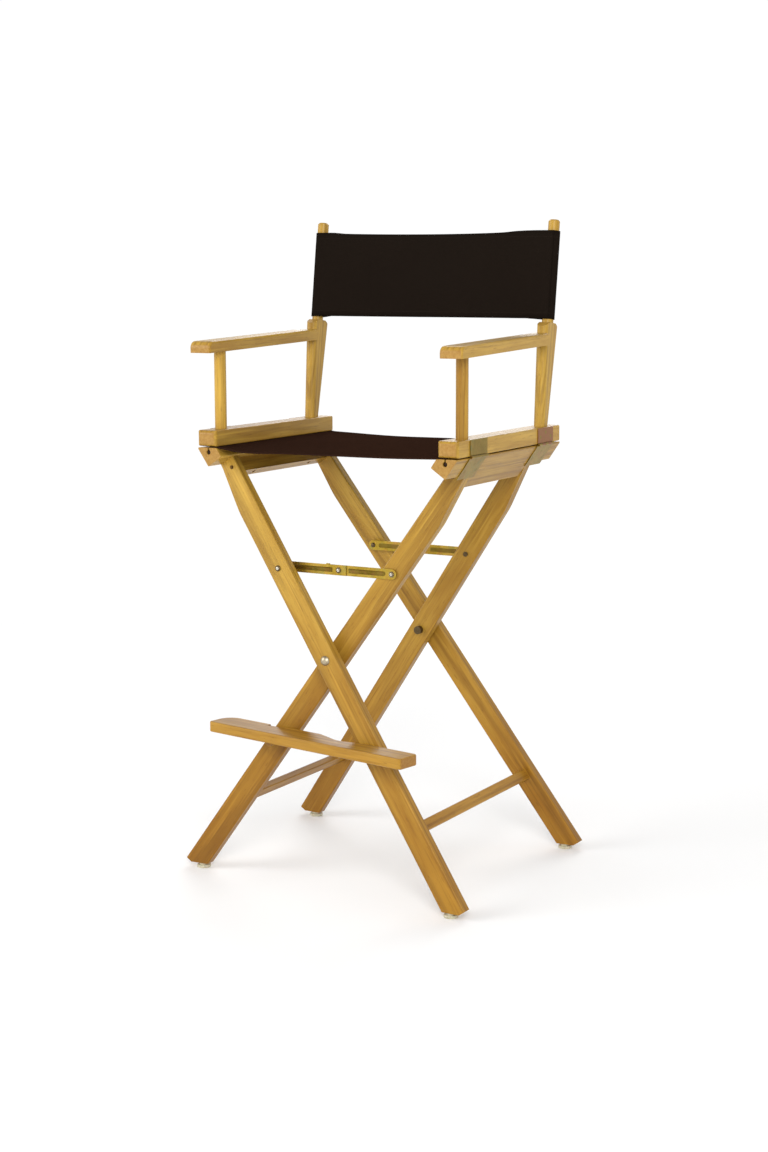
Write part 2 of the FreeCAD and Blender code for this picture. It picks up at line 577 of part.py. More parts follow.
def brace_link(label, end, start, stop, round_at, layer, lug):
    """A pressed steel strip with one rounded end, rivet holes and a channel along its middle."""
    near = "{link_front} - %d * ({link_thick} + {link_gap}) - {link_thick}" % layer
    far = "{link_front} - %d * ({link_thick} + {link_gap})" % layer
    low = between(end, near, far)
    pieces = [block(label + "_strip", start, low, BRACE_Z + " - {link_width} / 2",
                    "(%s) - (%s)" % (stop, start), "{link_thick}", "{link_width}"),
              rod(label + "_round", round_at, low, BRACE_Z, "{link_width} / 2", "{link_thick}")]
    if lug:
        # a lug on the inner link's tail comes down on the outer link's top edge and stops the brace when open
        low_lug = "{link_width} / 2 + 0.15"
        pieces.append(block(label + "_lug_root", "0 - {lug_out}", low, BRACE_Z + " + {link_width} / 2 - 0.5",
                            "{lug_length}", "{link_thick}", "0.65 + {link_thick}"))
        pieces.append(block(label + "_lug_top", "0 - {lug_out}", between(end, near, "{link_front}"),
                            BRACE_Z + " + " + low_lug, "{lug_length}", "2 * {link_thick} + {link_gap}",
                            "{link_thick}"))
    blank = fuse(label + "_blank", pieces)
    tools = [rod(label + "_mid_hole", "0", low + " - 2", BRACE_Z, "{rivet_radius} + {running_gap}", "6"),
             rod(label + "_end_hole", round_at, low + " - 2", BRACE_Z, "{rivet_radius} + {running_gap}", "6")]
    outer_skin = between(end, far + " - 0.5", far)
    skin = "(%s) - %s" % (outer_skin, "0.1" if end < 0 else "0 - 0")
    channel_start = "(%s) + %s" % (start, "12" if round_at.startswith("0 -") else "46")
    tools.append(block(label + "_channel", channel_start, skin, BRACE_Z + " - 3.2", "60", "0.6", "6.4"))
    return keep(label, cut(label, blank, tools))


for end_word, end in (("front", -1), ("back", 1)):
    brace_link("%s_brace_outer_link" % end_word, end, "0 - " + BRACE_X, "{link_tail}", "0 - " + BRACE_X, 0, False)
    brace_link("%s_brace_inner_link" % end_word, end, "0 - {lug_out} - 1", BRACE_X, BRACE_X, 1, True)
    inner_face = "({link_front} - 2 * {link_thick} - {link_gap})"
    shank_low = between(end, inner_face, "{link_front}")
    shank = rod("%s_mid_shank" % end_word, "0", shank_low, BRACE_Z, "{rivet_radius}",
                "2 * {link_thick} + {link_gap}")
    heads = [rod("%s_mid_head" % end_word, "0", between(end, "{link_front}", "{link_front} + {rivet_rise}"),
                 BRACE_Z, "{rivet_head}", "{rivet_rise}"),
             rod("%s_mid_tail" % end_word, "0", between(end, inner_face + " - 0.8", inner_face),
                 BRACE_Z, "{rivet_head} - 1", "0.8")]
    keep("%s_brace_mid_rivet" % end_word, fuse("%s_brace_mid_rivet" % end_word, [shank] + heads))
    # the rivet at the inner leg is where the loop is opened: its head rides on the inner link
    low = between(end, inner_face, "{link_front} - {link_thick} - {link_gap}")
    shank = rod("%s_inner_shank" % end_word, BRACE_X, low, BRACE_Z, "{rivet_radius}", "{link_thick}")
    head = rod("%s_inner_head" % end_word, BRACE_X,
               between(end, "{link_front} - {link_thick} - {link_gap}", "{link_front} - {link_gap}"),
               BRACE_Z, "{rivet_head}", "{link_thick}")
    keep("%s_brace_inner_rivet" % end_word, fuse("%s_brace_inner_rivet" % end_word, [shank, head]))
outer_rivets, inner_tails = [], []
for end_word, end in (("front", -1), ("back", 1)):
    face = "(%s - {brace_up} * %s + %s)" % (OUTER_PLANE, TAN_SPLAY, HALF_LEG)
    back = "(%s - {brace_up} * %s - %s)" % (OUTER_PLANE, TAN_SPLAY, HALF_LEG)
    skin = "({link_front} - {link_thick})"
    x = "0 - " + BRACE_X
    outer_rivets.append(fuse("%s_outer_rivet" % end_word, [
        rod("%s_outer_shank" % end_word, x, between(end, skin, face + " + 0.5"), BRACE_Z, "{rivet_radius}",
            "%s + 0.5 - %s" % (face, skin)),
        rod("%s_outer_head" % end_word, x, between(end, face + " + 0.45", face + " + 1.65"), BRACE_Z,
            "{rivet_head}", "{rivet_rise}"),
        rod("%s_outer_sleeve" % end_word, x, between(end, "{link_front} + 0.1", back + " - 0.6"), BRACE_Z,
            "{rivet_head}", "%s - 0.6 - {link_front} - 0.1" % back)]))
    near = "(%s - {brace_up} * %s - %s)" % (INNER_PLANE, TAN_SPLAY, HALF_LEG)
    far = "(%s - {brace_up} * %s + %s)" % (INNER_PLANE, TAN_SPLAY, HALF_LEG)
    inner_tails.append(fuse("%s_inner_tail" % end_word, [
        rod("%s_tail_shank" % end_word, BRACE_X, between(end, near + " - 0.6", far + " - 0.6"), BRACE_Z,
            "{rivet_radius}", "%s - %s" % (far, near)),
        rod("%s_tail_head" % end_word, BRACE_X, between(end, near + " - 1.7", near + " - 0.5"), BRACE_Z,
            "{rivet_head}", "1.2")]))
keep("outer_leg_brace_rivets", group("outer_leg_brace_rivets", outer_rivets))
keep("inner_leg_brace_rivets", group("inner_leg_brace_rivets", inner_tails))

# ---------------------------------------------------------------- arm assemblies
ARM_RAIL_LOW = "({seat_height} + {canvas_gap})"
ARM_RAIL_TOP = "(%s + {arm_rail_height})" % ARM_RAIL_LOW
for word, side, frame_name, foot_word, plane in FRAMES:
    # bottom rail
    body = new_body(word + "_arm_rail_body")
    section = polygon(new_sketch(body, "XZ_Plane", word + "_arm_rail_section"), [
        ("%d * {arm_rail_outer}" % side, "0"), ("%d * {arm_rail_outer}" % side, "{arm_rail_height}"),
        ("%d * ({arm_rail_outer} - {arm_rail_width})" % side, "{arm_rail_height}"),
        ("%d * ({arm_rail_outer} - {arm_rail_width})" % side, "0")])
    pad(body, section, "{rail_length}")
    ease(body, lambda edge: runs_along(AXIS_X)(edge) or runs_along(AXIS_Z)(edge), "{rail_ease} * 3.5", "ends")
    ease(body, lambda edge: edge.Length > 300, "{rail_ease}", "corners")
    place(body, "0", "0", ARM_RAIL_LOW)
    keep(word + "_arm_rail", cut(word + "_arm_rail", body, arm_rail_holes[word]))
    # armrest, rising a little to the back
    body = new_body(word + "_armrest_body")
    outline = polygon(new_sketch(body, "YZ_Plane", word + "_armrest_outline"), [
        ("0", "0 - {armrest_thick}"), ("{armrest_length}", "0 - {armrest_thick}"),
        ("{armrest_length}", "0"), ("0", "0")])
    pad(body, outline, "{armrest_width}")
    ease(body, lambda edge: runs_along(AXIS_X)(edge) and edge.CenterOfMass.y < 1 and edge.CenterOfMass.z > -1,
         "{armrest_nose}", "nose")
    ease(body, lambda edge: edge.Length > 300 and edge.CenterOfMass.z > -1, "{leg_ease} * 1.6", "top_edges")
    place(body, "%d * {armrest_mid_x}" % side, "0 - {armrest_front}", "{armrest_top}", AXIS_X, "{armrest_rise}")
    # back post: flared board on the raked line of its dowel
    post = new_body(word + "_back_post_body")
    flare = polygon(new_sketch(post, "YZ_Plane", word + "_back_post_flare"), [
        ("0 - {back_post_low} + 1", "0 - 8"), ("{back_post_low} - 1", "0 - 8"),
        ("{back_post_high}", "{shoulder_up}"), ("12", "{shoulder_up} + {shoulder_rise}"),
        ("0 - 12", "{shoulder_up} + {shoulder_rise}"), ("0 - {back_post_high}", "{shoulder_up}")])
    pad(post, flare, "{back_post_thick}")
    ease(post, lambda edge: edge.Length > 120, "{back_post_thick} * 0.42", "long_edges")
    foot_x = "%d * {post_x}" % side
    place(post, foot_x, "{back_post_y}", ARM_RAIL_TOP, AXIS_X, "0 - {rake}")
    reach = "(({overall_height} - %s) / cos({rake}) - {back_dowel_radius} * tan({rake}))" % ARM_RAIL_TOP
    dowel = rod(word + "_back_dowel", foot_x,
                "{back_post_y} + {shoulder_up} * sin({rake})", ARM_RAIL_TOP + " + {shoulder_up} * cos({rake})",
                "{back_dowel_radius}", reach + " - {shoulder_up}", turn=(AXIS_X, "0 - {rake}"))
    doc.recompute()
    dowel_end = doc.addObject("Part::Chamfer", word + "_back_dowel_end")
    dowel_end.Base = dowel
    chamfer = value("{dowel_chamfer}")
    ends = sorted((edge.CenterOfMass.z, n + 1) for n, edge in enumerate(dowel.Shape.Edges) if edge.Closed)
    dowel_end.Edges = [(ends[-1][1], chamfer, chamfer)]
    doc.recompute()
    whole = fuse(word + "_back_post_blank", [post, dowel_end])
    below = block(word + "_below_post", "%d * {post_x} - 40" % side, "{back_post_y} - 60",
                  ARM_RAIL_TOP + " - 40", "80", "120", "40.02")
    back_post = keep(word + "_back_post", cut(word + "_back_post", whole, [below]))
    # the armrest is notched round the post: its outer strip stops short of the post's back edge
    notch = block(word + "_armrest_notch", "{post_x} + {back_post_thick} / 2" if side > 0 else
                  "0 - {post_x} - {back_post_thick} / 2 - 40", "{armrest_notch_y}", "{armrest_top} - 60",
                  "40", "60", "120")
    armrest = keep(word + "_armrest", cut(word + "_armrest", body, [back_post, notch]))
    front = rod(word + "_front_post_blank", "%d * {post_x}" % side, "0 - {front_post_y}",
                ARM_RAIL_TOP + " + 0.02", "{front_post_radius}", "{armrest_top} - %s - 6" % ARM_RAIL_TOP, "z")
    keep(word + "_front_post", cut(word + "_front_post", front, [armrest]))

# ---------------------------------------------------------------- footrest
body = new_body("footrest_board_body")
outline = polygon(new_sketch(body, "XY_Plane", "footrest_outline"), [
    ("0 - {footrest_left}", "0 - {footrest_front}"), ("{footrest_right}", "0 - {footrest_front}"),
    ("{footrest_right}", "0 - {footrest_shallow}"), ("131", "0 - {footrest_shallow}"),
    ("73.5", "0 - {footrest_waist}"), ("22", "0 - {footrest_deep}"),
    ("0 - {footrest_left}", "0 - {footrest_deep}")])
pad(body, outline, "{footrest_thick}")


def upright_at(x_low, x_high, y_low, y_high):
    """Picks upright edges of the footrest inside a range."""
    def wanted(edge):
        middle = edge.CenterOfMass
        return runs_along(AXIS_Z)(edge) and x_low < middle.x < x_high and y_low < middle.y < y_high
    return wanted


ease(body, upright_at(-300, -100, -200, -100), "28", "back_left_corner")
ease(body, upright_at(0, 100, -215, -100), "40", "waist")
ease(body, lambda edge: runs_along(AXIS_Z)(edge) and abs(edge.CenterOfMass.y) > 190 and
     (edge.CenterOfMass.x > 200 or (edge.CenterOfMass.x < -150 and edge.CenterOfMass.y < -240)), "6", "corners")
ease(body, lambda edge: abs(abs(edge.CenterOfMass.z) - value("{footrest_thick} / 2")) < 0.01, "{leg_ease}", "rims")
FOOTREST_MID = "({footrest_top} - {footrest_thick} / 2)"
place(body, "0", "0", FOOTREST_MID, AXIS_Z, "0 - {footrest_skew}")
for_inner_leg = block("footrest_clear_inner", "0 - 130", "0 - 182.1", "{footrest_top} - 40", "67", "60", "60")
bolt_bore = rod("footrest_bolt_bore", "{footrest_bolt_x}", "0 - 252.1", FOOTREST_MID,
                "{footrest_bolt_radius} + 0.05", "60")
keep("footrest_board", cut("footrest_board", body, [for_inner_leg, bolt_bore]))
shank = rod("footrest_bolt_shank", "{footrest_bolt_x}", "0 - 252", FOOTREST_MID, "{footrest_bolt_radius}", "59.5")
head = rod("footrest_bolt_head", "{footrest_bolt_x}", "0 - 192.3", FOOTREST_MID, "6.5", "3.4")
keep("footrest_bolt", fuse("footrest_bolt", [shank, head]))
washer = rod("footrest_washer_blank", "{footrest_bolt_x}", "0 - 218.1", FOOTREST_MID, "7", "2.4")
keep("footrest_washer", cut("footrest_washer", washer, [
    rod("footrest_washer_hole", "{footrest_bolt_x}", "0 - 220", FOOTREST_MID, "{footrest_bolt_radius} + 0.05", "6")]))
keep("footrest_peg", rod("footrest_peg", "0 - {peg_x}", "0 - 214",
                         "{footrest_top} - {footrest_thick} - {peg_radius} - 0.1", "{peg_radius}", "42"))

# ---------------------------------------------------------------- canvas
CANVAS_LOW = "({seat_height} + ({canvas_gap} - {canvas_thick}) / 2)"
seat_length = "({rail_length} - 6)"
pieces = [block("seat_panel", "0 - {groove_x} - {canvas_thick} / 2", "0 - %s / 2" % seat_length, CANVAS_LOW,
                "2 * {groove_x} + {canvas_thick}", seat_length, "{canvas_thick}")]
for word, side in (("left", -1), ("right", 1)):
    x = "%d * {groove_x}" % side
    ring = rod(word + "_loop_outer", x, "0 - %s / 2" % seat_length, "{groove_z}",
               "{hem_dowel} + 0.1 + {canvas_thick} * 0.7", seat_length)
    strip = block(word + "_strip", x + " - {canvas_thick} / 2", "0 - %s / 2" % seat_length, "{groove_z}",
                  "{canvas_thick}", seat_length, CANVAS_LOW + " - {groove_z} + 0.5")
    pieces += [ring, strip]
loops = fuse("seat_canvas_blank", pieces)
keep("seat_canvas", cut("seat_canvas", loops, [
    rod(word + "_loop_bore", "%d * {groove_x}" % side, "0 - {rail_length} / 2 - 5", "{groove_z}",
        "{hem_dowel} + 0.1", "{rail_length} + 10") for word, side in (("left", -1), ("right", 1))]))

SLEEVE_START = "(({sleeve_low} - %s) / cos({rake}))" % ARM_RAIL_TOP
SLEEVE_LENGTH = "(({sleeve_high} - {sleeve_low}) / cos({rake}))"
SLEEVE_Y = "{back_post_y} + %s * sin({rake})" % SLEEVE_START
for word, side in (("left", -1), ("right", 1)):
    x = "%d * {post_x}" % side
    tube = rod(word + "_sleeve_blank", x, SLEEVE_Y, "{sleeve_low}", "{sleeve_outer}", SLEEVE_LENGTH,
               turn=(AXIS_X, "0 - {rake}"))
    bore = rod(word + "_sleeve_bore", x, "{back_post_y}", ARM_RAIL_TOP, "{sleeve_inner}", "600",
               turn=(AXIS_X, "0 - {rake}"))
    keep("back_canvas_%s_sleeve" % word, cut("back_canvas_%s_sleeve" % word, tube, [bore]))
keep("back_canvas_panel", block(
    "back_canvas_panel", "0 - {post_x} + {sleeve_outer} + 0.02",
    SLEEVE_Y + " - {canvas_thick} / 2 * cos({rake})", "{sleeve_low} + {canvas_thick} / 2 * sin({rake})",
    "2 * ({post_x} - {sleeve_outer}) - 0.4", "{canvas_thick}", SLEEVE_LENGTH, AXIS_X, "0 - {rake}"))

# ---------------------------------------------------------------- check and write
doc.recompute()
for obj in doc.Objects:
    if "Invalid" in obj.State or "Error" in obj.State:
        raise RuntimeError("%s is in state %s" % (obj.Name, obj.State))
for label, obj in parts.items():
    if obj.Shape.isNull() or not obj.Shape.isValid() or not obj.Shape.Solids:
        raise RuntimeError("the shape of %s is not sound" % label)
os.makedirs("parts", exist_ok=True)
for label, obj in parts.items():
    obj.Shape.exportStep("parts/%s.step" % label)
print(len(parts), "sub-parts written")
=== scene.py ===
import math

import bmesh
import bpy
from mathutils import Matrix, Vector


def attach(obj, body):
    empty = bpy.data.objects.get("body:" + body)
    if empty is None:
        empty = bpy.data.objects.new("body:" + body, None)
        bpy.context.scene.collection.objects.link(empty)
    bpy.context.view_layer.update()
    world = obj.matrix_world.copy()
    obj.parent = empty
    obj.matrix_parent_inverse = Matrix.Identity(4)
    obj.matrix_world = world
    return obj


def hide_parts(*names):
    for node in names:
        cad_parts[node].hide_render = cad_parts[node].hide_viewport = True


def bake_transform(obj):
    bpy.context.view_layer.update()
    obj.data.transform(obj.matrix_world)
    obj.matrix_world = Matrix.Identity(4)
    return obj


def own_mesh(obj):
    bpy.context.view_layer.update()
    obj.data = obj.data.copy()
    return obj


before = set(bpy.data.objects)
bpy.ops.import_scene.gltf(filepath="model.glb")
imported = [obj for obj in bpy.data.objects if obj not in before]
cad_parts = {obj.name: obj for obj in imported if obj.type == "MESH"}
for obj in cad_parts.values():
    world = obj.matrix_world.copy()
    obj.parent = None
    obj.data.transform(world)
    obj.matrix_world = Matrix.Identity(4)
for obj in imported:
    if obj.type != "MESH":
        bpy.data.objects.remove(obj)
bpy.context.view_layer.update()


# ---- Camera and studio
# A tall view from the chair's front right, a little above the armrests.  The room has white walls, a dimmer
# ceiling and a round pale floor, with two large soft lamps in front and one behind.
YAW, PITCH, ROLL = math.radians(29.51), math.radians(8.85), math.radians(-0.16)
lens = bpy.data.cameras.new("camera")
lens.lens = 62.24
lens.sensor_width = 36.0
camera = bpy.data.objects.new("camera", lens)
turn = (Matrix.Rotation(YAW, 4, "Z") @ Matrix.Rotation(math.pi / 2 - PITCH, 4, "X")
        @ Matrix.Rotation(ROLL, 4, "Z"))
CAMERA_PLACE = (1.7409, -3.0464, 1.0746)
camera.matrix_world = Matrix.Translation(CAMERA_PLACE) @ turn
bpy.context.scene.collection.objects.link(camera)
bpy.context.scene.camera = camera
bpy.context.scene.view_settings.view_transform = "Standard"


def soft_lamp(name, place, aim, size, power):
    """A square lamp at place that points at aim."""
    data = bpy.data.lights.new(name, "AREA")
    data.shape = "SQUARE"
    data.size = size
    data.energy = power
    lamp = bpy.data.objects.new(name, data)
    lamp.location = place
    lamp.rotation_euler = (Vector(aim) - Vector(place)).to_track_quat("-Z", "Y").to_euler()
    bpy.context.scene.collection.objects.link(lamp)


soft_lamp("key_lamp", (2.4, -3.8, 2.6), (0, 0, 0.6), 2.2, 130)
soft_lamp("fill_lamp", (-3.2, -2.8, 2.2), (0, 0, 0.6), 2.4, 75)
soft_lamp("back_lamp", (-1.2, 3.4, 2.8), (0, 0, 0.7), 2.4, 60)

# most of the light comes from the walls: the ramp starts at the top of the walls and ends at the ceiling
WALL_TOP, CEILING, CEILING_GREY = 0.16, 0.50, 0.52
sky = bpy.data.worlds.new("studio")
sky.use_nodes = True
nodes, links = sky.node_tree.nodes, sky.node_tree.links
direction, rise = nodes.new("ShaderNodeTexCoord"), nodes.new("ShaderNodeSeparateXYZ")
room = nodes.new("ShaderNodeValToRGB")
room.color_ramp.elements[0].position, room.color_ramp.elements[1].position = WALL_TOP, CEILING
room.color_ramp.elements[0].color = (1.0, 1.0, 1.0, 1.0)
room.color_ramp.elements[1].color = (CEILING_GREY, CEILING_GREY, CEILING_GREY, 1.0)
links.new(direction.outputs["Generated"], rise.inputs["Vector"])
links.new(rise.outputs["Z"], room.inputs["Fac"])
links.new(room.outputs["Color"], nodes["Background"].inputs["Color"])
nodes["Background"].inputs["Strength"].default_value = 1.02
bpy.context.scene.world = sky

floor_form = bmesh.new()
bmesh.ops.create_circle(floor_form, cap_ends=True, segments=96, radius=2.7)
floor_mesh = bpy.data.meshes.new("floor")
floor_form.to_mesh(floor_mesh)
floor_form.free()
floor = bpy.data.objects.new("floor", floor_mesh)
bpy.context.scene.collection.objects.link(floor)
paper = bpy.data.materials.new("studio_paper")
paper.use_nodes = True
paper_shader = paper.node_tree.nodes["Principled BSDF"]
paper_shader.inputs["Base Color"].default_value = (0.97, 0.97, 0.97, 1.0)
paper_shader.inputs["Roughness"].default_value = 1.0
floor.data.materials.append(paper)


# ---- Leg frames, seat rails and aprons
# Sawn maple bars, planed, eased on every long edge and dipped in a clear varnish that has gone honey
# coloured.  The grain runs along each bar, so each has its own cut of the same timber.
LEAN, SPLAY = math.radians(34.5), math.radians(5.1)
HONEY, AMBER, UMBER = (0.500, 0.305, 0.048), (0.345, 0.178, 0.020), (0.120, 0.048, 0.008)


class Finish:
    """A new material and short ways to add and join its nodes."""

    def __init__(self, name):
        self.material = bpy.data.materials.new(name)
        self.material.use_nodes = True
        self.tree = self.material.node_tree
        self.shader = self.tree.nodes["Principled BSDF"]
        self.coordinates = self.tree.nodes.new("ShaderNodeTexCoord")

    def node(self, kind, settings=None, **links):
        """A node with settings on itself and links or numbers on its inputs."""
        made = self.tree.nodes.new(kind)
        for key, number in (settings or {}).items():
            setattr(made, key, number)
        for key, source in links.items():
            self.join(source, made.inputs[key])
        return made

    def join(self, source, socket):
        """Link a socket to another, or set its number."""
        if isinstance(source, bpy.types.NodeSocket):
            self.tree.links.new(source, socket)
        else:
            socket.default_value = source

    def noise(self, vector, scale, detail=2.0, rough=0.5, distort=0.0):
        """Cloudy noise from 0 to 1."""
        made = self.node("ShaderNodeTexNoise", Vector=vector, Scale=scale, Detail=detail, Roughness=rough,
                         Distortion=distort)
        return made.outputs["Fac"]

    def ramp(self, factor, low, high, first=(0, 0, 0), last=(1, 1, 1)):
        """A colour that goes from first to last as the factor goes from low to high."""
        made = self.node("ShaderNodeValToRGB", Fac=factor)
        made.color_ramp.elements[0].position, made.color_ramp.elements[1].position = low, high
        made.color_ramp.elements[0].color = (*first, 1.0)
        made.color_ramp.elements[1].color = (*last, 1.0)
        return made.outputs["Color"]

    def mix(self, factor, first, second, blend="MIX"):
        """Two colours, or sockets, mixed by a factor."""
        made = self.node("ShaderNodeMix", {"data_type": "RGBA", "blend_type": blend})
        self.join(factor, made.inputs[0])
        for source, socket in ((first, made.inputs[6]), (second, made.inputs[7])):
            self.join(source if isinstance(source, bpy.types.NodeSocket) else (*source, 1.0), socket)
        return made.outputs[2]

    def sum(self, operation, first, second):
        """One step of arithmetic."""
        made = self.node("ShaderNodeMath", {"operation": operation})
        self.join(first, made.inputs[0])
        self.join(second, made.inputs[1])
        return made.outputs[0]

    def bump(self, height, strength, distance):
        """Relief on the shader's normal."""
        made = self.node("ShaderNodeBump", Strength=strength, Distance=distance, Height=height)
        self.join(made.outputs["Normal"], self.shader.inputs["Normal"])

    def surface(self, **sockets):
        """Set or link the shader's sockets."""
        for key, source in sockets.items():
            if isinstance(source, tuple):
                source = (*source, 1.0)
            self.join(source, self.shader.inputs[key.replace("_", " ")])


def varnished_maple(name, along, tone, shift, age=0.5):
    """Maple whose grain runs along a direction; tone lightens or darkens the board, age ambers it."""
    wood = Finish(name)
    turned = Vector(along).normalized().rotation_difference(Vector((1, 0, 0))).to_euler()
    board = wood.node("ShaderNodeMapping", Vector=wood.coordinates.outputs["Object"]).outputs["Vector"]
    board.node.inputs["Rotation"].default_value = turned
    board.node.inputs["Location"].default_value = (shift * 1.37, shift * 0.61, shift * 0.83)

    def stretched(lengthwise, across, through):
        """The board's coordinates at so many features a metre each way."""
        made = wood.node("ShaderNodeMapping", Vector=board)
        made.inputs["Scale"].default_value = (lengthwise, across, through)
        return made.outputs["Vector"]

    def layer(under, mask, low, high, amount, over):
        """Lay a colour over another where the mask is high."""
        return wood.mix(wood.ramp(mask, low, high, (0, 0, 0), (amount,) * 3), under, over)

    honey, amber = tuple(c * tone for c in HONEY), tuple(c * tone for c in AMBER)
    broad = wood.noise(stretched(2.4, 11, 11), 1.0, 3.0, 0.6, 0.5)
    colour = wood.mix(wood.ramp(broad, 0.62 - 0.5 * age, 0.92 - 0.5 * age), honey, amber)
    figure = wood.noise(stretched(5.5, 62, 46), 1.0, 4.0, 0.6, 1.6)
    colour = layer(colour, figure, 0.46, 0.70, 0.62, amber)
    rings = wood.node("ShaderNodeTexWave", {"wave_type": "BANDS", "bands_direction": "Y"},
                      Vector=stretched(1.3, 27, 12), Scale=1.0, Distortion=6.5, Detail=3.0)
    rings.inputs["Detail Scale"].default_value = 0.8
    colour = layer(colour, rings.outputs["Fac"], 0.72, 0.98, 0.34, UMBER)
    streaks = wood.noise(stretched(8, 300, 260), 1.0, 3.0, 0.65)
    colour = layer(colour, streaks, 0.52, 0.74, 0.42, UMBER)
    pale = wood.noise(stretched(6, 180, 150), 1.0, 2.0, 0.5)
    colour = layer(colour, pale, 0.55, 0.75, 0.5, tuple(min(1.0, 1.32 * c) for c in honey))
    flecks = wood.noise(stretched(60, 620, 420), 1.0, 2.0, 0.5)
    colour = layer(colour, flecks, 0.64, 0.72, 0.35, UMBER)
    # sawn ends drink more varnish, so they are browner, mottled and duller
    facing = wood.node("ShaderNodeVectorMath", {"operation": "DOT_PRODUCT"})
    wood.join(wood.coordinates.outputs["Normal"], facing.inputs[0])
    facing.inputs[1].default_value = Vector(along).normalized()
    end = wood.sum("ABSOLUTE", facing.outputs["Value"], 0.0)
    pores = wood.noise(stretched(190, 190, 190), 1.0, 4.0, 0.7)
    end_colour = wood.mix(wood.ramp(pores, 0.36, 0.64), (0.41 * tone, 0.235 * tone, 0.060 * tone),
                          (0.33 * tone, 0.170 * tone, 0.036 * tone))
    colour = wood.mix(wood.ramp(end, 0.80, 0.93), colour, end_colour)
    # painted shade: the colour grows darker and redder towards the feet, standing in for the dimmer light low
    # down
    height = wood.node("ShaderNodeSeparateXYZ", Vector=wood.coordinates.outputs["Object"]).outputs["Z"]
    colour = wood.mix(1.0, colour, wood.ramp(height, 0.08, 0.62, (0.74, 0.60, 0.40), (1, 1, 1)), "MULTIPLY")
    gloss = wood.sum("MULTIPLY_ADD", streaks, 0.16)
    gloss.node.inputs[2].default_value = 0.28
    wood.surface(Base_Color=colour, Roughness=gloss, Coat_Weight=0.10, Coat_Roughness=0.22,
                 Specular_IOR_Level=0.18)
    wood.bump(streaks, 0.12, 0.0003)
    return wood.material


def refinish(piece, material):
    """Give a finished piece one material on all its faces."""
    piece.data.materials.clear()
    piece.data.materials.append(material)


sin_lean, cos_lean, splay = math.sin(LEAN), math.cos(LEAN), math.tan(SPLAY)
timber = {
    "outer_front_leg": ((-sin_lean, splay, cos_lean), 0.98, 0.20),
    "outer_back_leg": ((-sin_lean, -splay, cos_lean), 0.98, 0.45),
    "inner_front_leg": ((sin_lean, splay, cos_lean), 0.95, 0.60),
    "inner_back_leg": ((sin_lean, -splay, cos_lean), 0.92, 0.75),
    "left_stretcher": ((0, 1, 0), 0.95, 0.4), "right_stretcher": ((0, 1, 0), 1.05, 0.2),
    "left_seat_rail": ((0, 1, 0), 0.96, 0.5), "right_seat_rail": ((0, 1, 0), 0.95, 0.5),
    "left_apron": ((0, 1, 0), 0.88, 0.6), "right_apron": ((0, 1, 0), 0.90, 0.5),
    "footrest_peg": ((0, 1, 0), 0.9, 0.5),
}
for number, (name, (along, tone, age)) in enumerate(timber.items()):
    refinish(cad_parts[name], varnished_maple(name + "_maple", along, tone, 0.71 * number + 0.3, age))
# the dowels inside the seat's hems are stained dark, so their ends hardly show
stain = Finish("dark_stained_dowel")
blotches = stain.noise(stain.coordinates.outputs["Object"], 300.0)
stain.surface(Base_Color=stain.mix(blotches, (0.016, 0.009, 0.006), (0.040, 0.020, 0.011)),
              Roughness=0.8, Specular_IOR_Level=0.1)
for name in ("left_seat_dowel", "right_seat_dowel"):
    refinish(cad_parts[name], stain.material)


# ---- Arm assemblies
# The same maple: a rail, a turned front post, a flared back post with a round tenon for the canvas, and
# an armrest with a bullnosed front.  All glued, so there are no fixings to see but the hinges.
for number, side in enumerate(("left", "right")):
    for offset, (word, along, tone) in enumerate((
            ("arm_rail", (0, 1, 0), 0.96), ("front_post", (0, 0, 1), 1.06),
            ("back_post", (0, 0.136, 0.991), 0.96), ("armrest", (0, 1, 0.031), 0.97))):
        piece = "%s_%s" % (side, word)
        refinish(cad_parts[piece],
                 varnished_maple(piece + "_maple", along, tone, 5.3 + 0.37 * offset + number))


# ---- Footrest
# A planed maple board with all its edges rounded over, pivoted on one leg and resting on a peg in the
# other.  The grain runs along the board, which lies askew across the chair.
refinish(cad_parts["footrest_board"],
         varnished_maple("footrest_maple", (0.984, -0.179, 0), 1.02, 9.2, 0.4))


# ---- Glides
# Turned cream nylon discs fixed under the feet.  The nylon lets a little light in, and it is scuffed
# darker from being dragged.
nylon = Finish("cream_nylon")
scuffs = nylon.noise(nylon.coordinates.outputs["Object"], 260.0, 4.0, 0.65)
nylon.surface(Base_Color=nylon.mix(nylon.ramp(scuffs, 0.45, 0.70), (0.56, 0.51, 0.37), (0.36, 0.31, 0.20)),
              Roughness=nylon.ramp(scuffs, 0.2, 0.9, (0.38, 0.38, 0.38), (0.62, 0.62, 0.62)),
              Subsurface_Weight=0.08)
nylon.bump(scuffs, 0.15, 0.0003)
for name in ("left_front_glide", "left_back_glide", "right_front_glide", "right_back_glide"):
    refinish(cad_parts[name], nylon.material)


